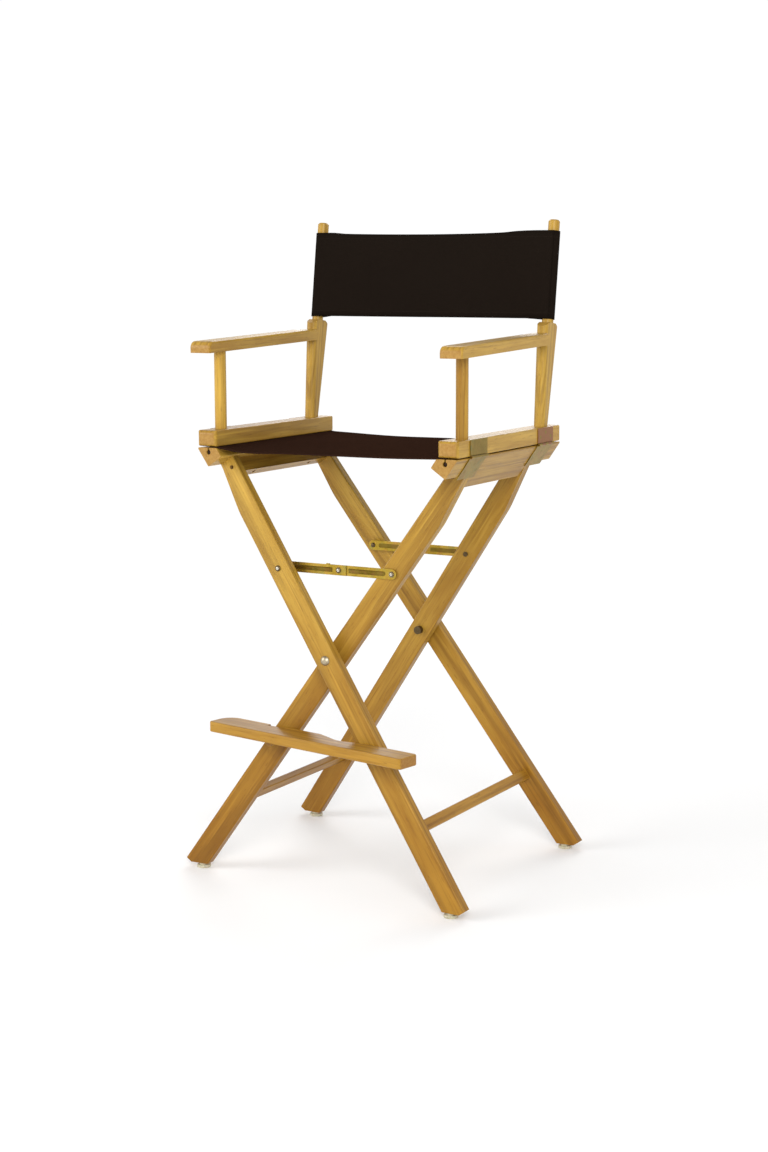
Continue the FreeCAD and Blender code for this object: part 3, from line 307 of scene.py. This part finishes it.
# ---- Hinge leaves and braces
# Sheet steel stampings with a yellow passivated zinc coat.  The coat is uneven: olive, straw and a
# copper red run into each other, and the pressed faces are finely scratched.
def passivated(name, shift, copper, tone=1.0, rear=0.0):
    """Yellow passivated zinc; copper is how much red shows, rear how red the back half of the chair is."""
    steel = Finish(name)
    place = steel.node("ShaderNodeMapping", Vector=steel.coordinates.outputs["Object"])
    place.inputs["Location"].default_value = (shift, 0.4 * shift, 0.7 * shift)
    clouds = steel.noise(place.outputs["Vector"], 26.0, 3.0, 0.6, 0.8)
    tints = steel.noise(place.outputs["Vector"], 48.0, 2.0, 0.5, 1.5)
    grain = steel.noise(place.outputs["Vector"], 900.0, 2.0, 0.5)
    colour = steel.mix(steel.ramp(clouds, 0.35, 0.65), (0.26 * tone, 0.170 * tone, 0.012 * tone),
                       (0.38 * tone, 0.255 * tone, 0.040 * tone))
    colour = steel.mix(steel.ramp(tints, 0.52, 0.70, (0, 0, 0), (copper, copper, copper)), colour,
                       (0.42 * tone, 0.16 * tone, 0.060 * tone))
    colour = steel.mix(steel.ramp(tints, 0.28, 0.42, (0.5, 0.5, 0.5), (0, 0, 0)), colour,
                       (0.19 * tone, 0.20 * tone, 0.060 * tone))
    if rear:
        depth = steel.node("ShaderNodeSeparateXYZ", Vector=steel.coordinates.outputs["Object"]).outputs["Y"]
        colour = steel.mix(steel.ramp(depth, 0.0, 0.02, (0, 0, 0), (rear,) * 3), colour, (0.27, 0.105, 0.040))
    steel.surface(Base_Color=colour, Metallic=0.85,
                  Roughness=steel.ramp(grain, 0.2, 0.8, (0.30, 0.30, 0.30), (0.48, 0.48, 0.48)))
    steel.bump(grain, 0.08, 0.0002)
    return steel.material


for number, side in enumerate(("left", "right")):
    for offset, (word, copper, tone, rear) in enumerate((
            ("hinge_lower_leaves", 0.45, 0.80, 0.0), ("hinge_upper_leaves", 0.12, 0.72, 0.85),
            ("hinge_pins", 0.1, 0.45, 0.0))):
        piece = "%s_%s" % (side, word)
        refinish(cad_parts[piece],
                 passivated(piece + "_zinc", 2.1 * number + 0.9 * offset, copper, tone, rear))


def new_piece(name, form, material, smooth=True):
    """A finished piece from a bmesh, with its faces outwards."""
    bmesh.ops.recalc_face_normals(form, faces=form.faces)
    mesh = bpy.data.meshes.new(name)
    form.to_mesh(mesh)
    form.free()
    for face in mesh.polygons:
        face.use_smooth = smooth
    mesh.materials.append(material)
    piece = bpy.data.objects.new(name, mesh)
    bpy.context.scene.collection.objects.link(piece)
    return piece


def stamped_link(name, low, high, level, face_y, into, rounded, channel):
    """A flat strip with a rounded end and a long channel, from and to, pressed into its outer face.

    face_y is the outer face and into is +1 or -1, the way from it into the metal."""
    form = bmesh.new()
    half, thick, border, wall, pressed = 0.009, 0.0014, 0.0050, 0.0015, 0.0010
    corners = [form.verts.new((x, face_y, level + z)) for x, z in
               ((low, -half), (high, -half), (high, half), (low, half))]
    form.faces.new(corners)
    middle = (low + high) / 2
    wanted = [v for v in corners if (v.co.x < middle) == (rounded == "low")]
    bmesh.ops.bevel(form, geom=wanted, offset=half * 0.96, affect="VERTICES", segments=8, profile=0.5,
                    material=-1)
    face = form.faces[:][0]
    bmesh.ops.inset_region(form, faces=[face], thickness=border, use_boundary=True, use_even_offset=True)
    near, far = min(v.co.x for v in face.verts), max(v.co.x for v in face.verts)
    for vertex in face.verts:
        vertex.co.x += channel[0] - near if vertex.co.x < middle else channel[1] - far
    before = set(form.faces)
    bmesh.ops.inset_region(form, faces=[face], thickness=wall, use_even_offset=True)
    # the channel's floor and walls take the second material, a darker copy of the coat that is painted shade
    for part in [face] + [f for f in form.faces if f not in before]:
        part.material_index = 1
    for vertex in face.verts:
        vertex.co.y += into * pressed
    shell = bmesh.ops.extrude_face_region(form, geom=form.faces[:])
    for vertex in [v for v in shell["geom"] if isinstance(v, bmesh.types.BMVert)]:
        vertex.co.y = face_y + into * thick
    rim = [e for e in form.edges if len(e.link_faces) == 2 and e.calc_face_angle(0) > 1.2]
    bmesh.ops.bevel(form, geom=rim, offset=0.00025, affect="EDGES", segments=2, profile=0.5, material=-1)
    strip = new_piece(name, form, passivated(name + "_zinc", 7 * level + face_y * 9, 0.30, 1.30),
                      smooth=False)
    # the second material is the same coat at a lower tone, as painted shade in the channel
    strip.data.materials.append(passivated(name + "_channel_painted_shade_zinc", 3 * level + face_y * 5, 0.45, 0.60))
    return strip


# rivets stand so far up the legs from the pivot; strips run past them, and channels stop short of them
BRACE_UP, PIVOT_Z, MIDDLE_Y = 0.1834, 0.405, 0.0214
BRACE_X, BRACE_Z = BRACE_UP * sin_lean, PIVOT_Z + BRACE_UP * cos_lean
PAST_RIVET, SHORT_OF_RIVET = 0.009, 0.012
LUG_X, LUG_WIDTH, LUG_TOP, LUG_DROP, STRIP_THICK = -0.0215, 0.007, 0.00985, 0.0027, 0.0014
for end, sign in (("front", -1), ("back", 1)):
    outer_face = MIDDLE_Y + sign * 0.1515
    inner_face = MIDDLE_Y + sign * 0.1499
    outer = stamped_link(end + "_brace_outer_strip", -BRACE_X - PAST_RIVET, 0.015, BRACE_Z, outer_face,
                         -sign, "low", (-BRACE_X + SHORT_OF_RIVET, -0.012))
    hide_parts(end + "_brace_outer_link")
    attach(outer, end + "_outer_link")
    inner = stamped_link(end + "_brace_inner_strip", -0.026, BRACE_X + PAST_RIVET, BRACE_Z, inner_face,
                         -sign, "high", (0.019, BRACE_X - SHORT_OF_RIVET))
    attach(inner, end + "_inner_link")
    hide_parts(end + "_brace_inner_link")
    # the lug is bent over the other link's top edge, so that the pair stops when it is straight
    lug_form = bmesh.new()
    low_y, high_y = sorted((outer_face, inner_face - sign * STRIP_THICK))
    for spot, size in (
            ((LUG_X, (low_y + high_y) / 2, BRACE_Z + LUG_TOP), (LUG_WIDTH, high_y - low_y, STRIP_THICK)),
            ((LUG_X, inner_face - sign * STRIP_THICK / 2, BRACE_Z + 0.0092),
             (LUG_WIDTH, STRIP_THICK, LUG_DROP))):
        bmesh.ops.create_cube(lug_form, size=1.0,
                              matrix=Matrix.Translation(spot) @ Matrix.Diagonal((*size, 1)))
    bmesh.ops.bevel(lug_form, geom=lug_form.edges[:], offset=0.00035, affect="EDGES", segments=2, profile=0.5,
                    material=-1)
    lug = new_piece(end + "_brace_lug", lug_form, inner.data.materials[0], smooth=False)
    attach(lug, end + "_inner_link")


# ---- Bolts, rivets and washers
# Zinc plated steel, brightest on the rivets and duller on the bolts.  The rivets have low domed heads
# that catch a round highlight, with painted shade on the rim where the head meets the face.
def plated(name, colour, roughness):
    """Bright plate with fine turning marks and a few dull spots."""
    steel = Finish(name)
    marks = steel.noise(steel.coordinates.outputs["Object"], 1400.0, 2.0, 0.5)
    spots = steel.noise(steel.coordinates.outputs["Object"], 160.0, 3.0, 0.6)
    dull = tuple(0.72 * c for c in colour)
    steel.surface(Base_Color=steel.mix(steel.ramp(spots, 0.45, 0.75), colour, dull), Metallic=1.0,
                  Roughness=steel.ramp(marks, 0.2, 0.8, (roughness,) * 3, (roughness + 0.15,) * 3))
    steel.bump(marks, 0.05, 0.0001)
    return steel.material


bright = plated("bright_zinc", (0.66, 0.61, 0.50), 0.24)
worn = plated("worn_zinc", (0.46, 0.39, 0.27), 0.30)
# a dark brown plate for the cap nuts and some rivets; on the rivet domes' rims it is painted shade
dark_zinc_and_rim_shade = plated("dark_zinc_and_painted_rim_shade", (0.135, 0.095, 0.048), 0.38)
for metal, names in (
        (bright, ("footrest_bolt", "footrest_washer", "front_brace_mid_rivet",
                  "back_brace_mid_rivet", "front_brace_inner_rivet", "back_brace_inner_rivet")),
        (worn, ("front_pivot_bolt", "back_pivot_bolt", "pivot_spacers", "outer_leg_brace_rivets")),
        (dark_zinc_and_rim_shade, ("pivot_cap_nuts", "inner_leg_brace_rivets"))):
    for name in names:
        refinish(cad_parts[name], metal)


def domed(form, centre, toward, radius, height):
    """A low dome on a disc, turned about the direction toward; its rim takes the second material."""
    profile = [form.verts.new(spot) for spot in (
        (0, 0, 0), (radius, 0, 0), (radius * 0.985, 0, height * 0.25), (radius * 0.84, 0, height * 0.66),
        (radius * 0.52, 0, height * 0.92), (0, 0, height))]
    edges = [form.edges.new(pair) for pair in zip(profile, profile[1:])]
    bmesh.ops.spin(form, geom=profile + edges, cent=(0, 0, 0), axis=(0, 0, 1), angle=2 * math.pi, steps=20,
                   use_merge=True)
    bmesh.ops.remove_doubles(form, verts=form.verts[:], dist=1e-6)
    for face in form.faces:
        face.material_index = 1 if face.calc_center_median().xy.length > radius * 0.50 else 0
    bmesh.ops.transform(form, verts=form.verts[:], matrix=Matrix.Translation(centre) @
                        Vector(toward).to_track_quat("Z", "Y").to_matrix().to_4x4())


def rivet_head(name, centre, toward, radius, height, core, body):
    """A domed head that rides a body, bright or dark in the middle, with painted shade round its rim."""
    form = bmesh.new()
    domed(form, centre, toward, radius, height)
    dome = new_piece(name, form, core)
    dome.data.materials.append(dark_zinc_and_rim_shade)
    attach(dome, body)


LEG_FACE = 0.1879 - BRACE_UP * splay + 0.01 / math.cos(SPLAY)
DOME_HEIGHT = 0.0022
for end, sign in (("front", -1), ("back", 1)):
    for name, x, y, out, size, core, body in (
            ("mid", 0.0, 0.15155, 1, 0.0050, bright, "_outer_link"),
            ("inner", BRACE_X, 0.14995, 1, 0.0050, bright, "_inner_link"),
            ("link", -BRACE_X, 0.15005, -1, 0.0046, dark_zinc_and_rim_shade, "_outer_link"),
            ("leg", -BRACE_X, LEG_FACE + 0.0012, 1, 0.0052, bright, None)):
        rivet_head("%s_%s_rivet_dome" % (end, name), (x, MIDDLE_Y + sign * y, BRACE_Z),
                   (0, sign * out, 0), size, DOME_HEIGHT, core, end + body if body else "outer_frame")


# ---- Wood screws
# Countersunk screws that sit just under the surface.  Those in the frames are browned steel, and those
# in the hinge leaves have the same yellow coat as the leaves.
browned = plated("browned_screw_steel", (0.20, 0.115, 0.035), 0.40)
leaf_screw = plated("passivated_screw_steel", (0.26, 0.18, 0.035), 0.36)
for side in ("left", "right"):
    for word, metal in (("frame_screws", browned), ("seat_rail_hinge_screws", leaf_screw),
                        ("arm_rail_hinge_screws", leaf_screw)):
        refinish(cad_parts["%s_%s" % (side, word)], metal)


# ---- Canvas
# Heavy plain-weave cotton, nearly black brown.  The weave is on each piece's own flat pattern, so the
# threads stay square to its edges, and each free edge has one row of stitches beside it.
THREAD_PITCH, STITCH_PITCH, STITCH_HALF_WIDTH = 0.0011, 0.0034, 0.00045


def canvas(name, dark, light, hems):
    """Plain-weave cloth; hems lists (axis, place) rows of stitches on the flat pattern, in metres."""
    cloth = Finish(name)
    flat = cloth.node("ShaderNodeUVMap", {"uv_map": "flat"}).outputs["UV"]
    split = cloth.node("ShaderNodeSeparateXYZ", Vector=flat)
    threads = []
    for axis in ("X", "Y"):
        angle = cloth.sum("MULTIPLY", split.outputs[axis], math.pi / THREAD_PITCH)
        threads.append(cloth.sum("SINE", angle, 0.0))
    crossing = cloth.sum("MULTIPLY", threads[0], threads[1])
    rounds = [cloth.sum("ABSOLUTE", thread, 0.0) for thread in threads]
    over = cloth.sum("GREATER_THAN", crossing, 0.0)
    height = cloth.node("ShaderNodeMix", {"data_type": "FLOAT"})
    cloth.join(over, height.inputs[0])
    cloth.join(rounds[0], height.inputs[2])
    cloth.join(rounds[1], height.inputs[3])
    weave = height.outputs[0]
    fuzz = cloth.noise(cloth.coordinates.outputs["Object"], 700.0, 3.0, 0.7)
    fade = cloth.noise(cloth.coordinates.outputs["Object"], 9.0, 3.0, 0.6)
    drawn_out = cloth.node("ShaderNodeMapping", Vector=flat)
    drawn_out.inputs["Scale"].default_value = (1, 22, 1)
    slubs = cloth.noise(drawn_out.outputs["Vector"], 40.0, 2.0, 0.5)
    colour = cloth.mix(cloth.ramp(weave, 0.1, 0.95), dark, light)
    colour = cloth.mix(cloth.ramp(fade, 0.35, 0.75, (0, 0, 0), (0.35, 0.35, 0.35)), colour, light)
    colour = cloth.mix(cloth.ramp(slubs, 0.55, 0.75, (0, 0, 0), (0.3, 0.3, 0.3)), colour, light)
    colour = cloth.mix(cloth.ramp(fuzz, 0.5, 0.8, (0, 0, 0), (0.25, 0.25, 0.25)), colour, dark)
    sewn = None
    for axis, place in hems:
        across, along = split.outputs[axis], split.outputs["X" if axis == "Y" else "Y"]
        near = cloth.sum("ABSOLUTE", cloth.sum("SUBTRACT", across, place), 0.0)
        row = cloth.sum("LESS_THAN", near, STITCH_HALF_WIDTH)
        beat = cloth.sum("SINE", cloth.sum("MULTIPLY", along, 2 * math.pi / STITCH_PITCH), 0.0)
        dash = cloth.sum("MULTIPLY", row, cloth.sum("GREATER_THAN", beat, -0.35))
        sewn = dash if sewn is None else cloth.sum("MAXIMUM", sewn, dash)
    relief = weave
    if sewn is not None:
        colour = cloth.mix(sewn, colour, tuple(1.2 * c for c in light))
        relief = cloth.sum("ADD", weave, cloth.sum("MULTIPLY", sewn, 1.2))
    cloth.surface(Base_Color=colour, Roughness=1.0, Specular_IOR_Level=0.0)
    cloth.bump(relief, 0.5, 0.0004)
    return cloth.material


def lay_flat(piece, origin, across, along):
    """Write the piece's flat pattern, in metres, from two directions."""
    layer = piece.data.uv_layers.new(name="flat")
    for loop in piece.data.loops:
        spot = piece.data.vertices[loop.vertex_index].co - Vector(origin)
        layer.data[loop.index].uv = (spot.dot(Vector(across)), spot.dot(Vector(along)))


def thicken(piece, thickness):
    """Cloth thickness, live, half to each side of the sheet."""
    wall = piece.modifiers.new("cloth", "SOLIDIFY")
    wall.thickness = thickness
    wall.offset = 0.0


def pull_rows(form, row, count, step):
    """Pull a row of edges out into a sheet, one step at a time."""
    for _ in range(count):
        pulled = bmesh.ops.extrude_edge_only(form, edges=row)["geom"]
        row = [item for item in pulled if isinstance(item, bmesh.types.BMEdge)]
        bmesh.ops.translate(form, verts=[item for item in pulled if isinstance(item, bmesh.types.BMVert)],
                            vec=step)


# The seat is one cloth with a loop along each side.  A dowel in each loop locks it in the seat rail's
# groove, and it comes up through the slot, over the rail's inner edge and across.
SEAT_HALF_LENGTH, GROOVE_X, DOWEL_Z = 0.198, 0.233, 0.754
SEAT_Z, RAIL_EDGE_X, SEAT_COLUMNS, SEAT_ROWS = 0.76295, 0.2185, 46, 64
seat_form = bmesh.new()
LOOP_RADIUS = 0.0035
profile = []
for step in range(11):
    angle = math.radians(70 - 320 * step / 10)
    profile.append((-GROOVE_X + LOOP_RADIUS * math.cos(angle), DOWEL_Z + LOOP_RADIUS * math.sin(angle)))
profile += [(-GROOVE_X - 0.0002, 0.7605), (-GROOVE_X + 0.0008, 0.7626), (-GROOVE_X + 0.004, SEAT_Z),
            (-RAIL_EDGE_X, SEAT_Z)]
profile += [(-RAIL_EDGE_X + RAIL_EDGE_X * step / SEAT_COLUMNS, SEAT_Z) for step in range(1, SEAT_COLUMNS + 1)]
spots = [seat_form.verts.new((x, MIDDLE_Y - SEAT_HALF_LENGTH, z)) for x, z in profile]
for pair in zip(spots, spots[1:]):
    seat_form.edges.new(pair)
bmesh.ops.mirror(seat_form, geom=seat_form.verts[:] + seat_form.edges[:], matrix=Matrix.Identity(4),
                 merge_dist=1e-5, axis="X")
pull_rows(seat_form, seat_form.edges[:], SEAT_ROWS, Vector((0, 2 * SEAT_HALF_LENGTH / SEAT_ROWS, 0)))
SAG, HEM_LIFT, CORNER_DROP, HEM_DROP, UNEVEN = 0.0065, 0.0025, 0.0042, 0.0012, 0.0008
for vertex in seat_form.verts:
    x, y = vertex.co.x, vertex.co.y - MIDDLE_Y
    inside = max(0.0, 1 - abs(x) / RAIL_EDGE_X)
    if inside > 0:
        edge = (abs(y) / SEAT_HALF_LENGTH) ** 6
        belly = math.sin(inside * math.pi / 2)
        # it hangs a few millimetres, less along the sewn hems, and its left front corner drops where it is
        # slack
        vertex.co.z -= belly * (SAG - HEM_LIFT * edge)
        corner = math.exp(-((x + 0.160) / 0.055) ** 2) * math.exp(-((y + SEAT_HALF_LENGTH) / 0.06) ** 2)
        vertex.co.z -= CORNER_DROP * corner * min(1.0, inside * 6)
        vertex.co.z += UNEVEN * math.sin(23 * x + 4) * math.sin(17 * y + 1) * belly
        if abs(y) > SEAT_HALF_LENGTH - 0.004:
            vertex.co.z -= HEM_DROP
SEAT_DARK, SEAT_LIGHT = (0.0170, 0.0080, 0.0050), (0.0400, 0.0185, 0.0118)
seat_cloth = canvas("seat_canvas_weave", SEAT_DARK, SEAT_LIGHT,
                    (("Y", SEAT_HALF_LENGTH - 0.011), ("Y", -SEAT_HALF_LENGTH + 0.011)))
seat = new_piece("seat_cloth", seat_form, seat_cloth)
lay_flat(seat, (0, MIDDLE_Y, 0), (1, 0, 0), (0, 1, 0))
thicken(seat, 0.0013)
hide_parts("seat_canvas")
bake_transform(seat)

# The back is one band, sewn into a sleeve at each end that slips over the post's tenon.  The front of the
# band runs straight from post to post, and the sleeve's other layer comes round behind and is sewn to it.
RAKE, POST_X = math.radians(7.8), 0.239
SLEEVE_LOW, SLEEVE_HIGH, SLEEVE_ROWS = 0.9800, 1.1335, 14
SEAM, WRAP, BACK_THICK = 0.034, 0.0115, 0.0012
POST_FOOT = Vector((0, 0.1528 + MIDDLE_Y, 0.792))
up_post = Vector((0, math.sin(RAKE), math.cos(RAKE)))
behind_post = Vector((0, math.cos(RAKE), -math.sin(RAKE)))
band_foot = POST_FOOT + up_post * ((SLEEVE_LOW - POST_FOOT.z) / math.cos(RAKE))
BAND_HEIGHT = (SLEEVE_HIGH - SLEEVE_LOW) / math.cos(RAKE)
BACK_DARK, BACK_LIGHT = (0.0060, 0.0042, 0.0031), (0.0140, 0.0098, 0.0073)


def band_strip(form, outline):
    """Pull an outline of (x, depth) points up along the posts."""
    spots = [form.verts.new(band_foot + Vector((x, 0, 0)) + behind_post * depth) for x, depth in outline]
    row = [form.edges.new(pair) for pair in zip(spots, spots[1:])]
    pull_rows(form, row, SLEEVE_ROWS, up_post * (BAND_HEIGHT / SLEEVE_ROWS))


# the top row of each cloth stands up a little where it is folded over
TOP_ROW, HEM_RISE = 0.96, 0.0012
stitch_rows = (("Y", 0.010), ("Y", BAND_HEIGHT - 0.010))
band_cloth = canvas("back_canvas_weave", BACK_DARK, BACK_LIGHT, stitch_rows)
for side, sign, body in (("left", -1, "left_arm"), ("right", 1, "right_arm")):
    outline = [(-sign * SEAM, -WRAP)]
    outline += [(-sign * SEAM * (1 - step / 4), -WRAP) for step in range(1, 4)]
    outline += [(sign * WRAP * math.sin(math.radians(angle)), -WRAP * math.cos(math.radians(angle)))
                for angle in range(0, 211, 15)]
    outline += [(-sign * SEAM * 0.55, WRAP * 0.16), (-sign * SEAM * 0.8, -WRAP * 0.55),
                (-sign * SEAM, -WRAP + 0.0014)]
    form = bmesh.new()
    band_strip(form, [(sign * POST_X + x, depth) for x, depth in outline])
    for vertex in form.verts:
        height = (vertex.co - band_foot).dot(up_post) / BAND_HEIGHT
        vertex.co += up_post * (HEM_RISE if height > TOP_ROW else 0)
    sleeve = new_piece("back_cloth_%s_sleeve" % side, form, band_cloth)
    lay_flat(sleeve, band_foot, (1, 0, 0), up_post)
    thicken(sleeve, BACK_THICK)
    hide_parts("back_canvas_%s_sleeve" % side)
    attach(sleeve, body)

BAND_END, LAYER, BAND_COLUMNS = POST_X + 0.0065, WRAP + 0.00125, 96
panel_form = bmesh.new()
outline = []
for step in range(BAND_COLUMNS + 1):
    x = -BAND_END + 2 * BAND_END * step / BAND_COLUMNS
    past_post = max(0.0, abs(x) - POST_X)
    outline.append((x, -LAYER + 0.4 * (LAYER - math.sqrt(LAYER ** 2 - past_post ** 2))))
band_strip(panel_form, outline)
DIP, PUCKER, RIPPLE = 0.0052, 0.0016, 0.0008
for vertex in panel_form.verts:
    height = (vertex.co - band_foot).dot(up_post) / BAND_HEIGHT
    inside = 1 - (vertex.co.x / BAND_END) ** 2
    slack = max(0.0, min(1.0, (POST_X - abs(vertex.co.x) - 0.027) / 0.03))
    # the loose top edge dips in the middle and stands up a little by the right post, and the cloth ripples
    # forward between the posts
    dip = DIP * slack * inside * max(0.0, height - 0.4) / 0.6
    vertex.co += up_post * ((HEM_RISE if height > TOP_ROW else 0) - dip)
    vertex.co += up_post * PUCKER * math.exp(-((vertex.co.x - 0.178) / 0.022) ** 2) * max(0.0, height) ** 6
    vertex.co -= behind_post * slack * RIPPLE * (1 + math.sin(21 * vertex.co.x + 3 * height))
panel = new_piece("back_cloth_band", panel_form, band_cloth)
lay_flat(panel, band_foot, (1, 0, 0), up_post)
thicken(panel, BACK_THICK)
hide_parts("back_canvas_panel")
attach(panel, "left_arm")
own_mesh(panel)
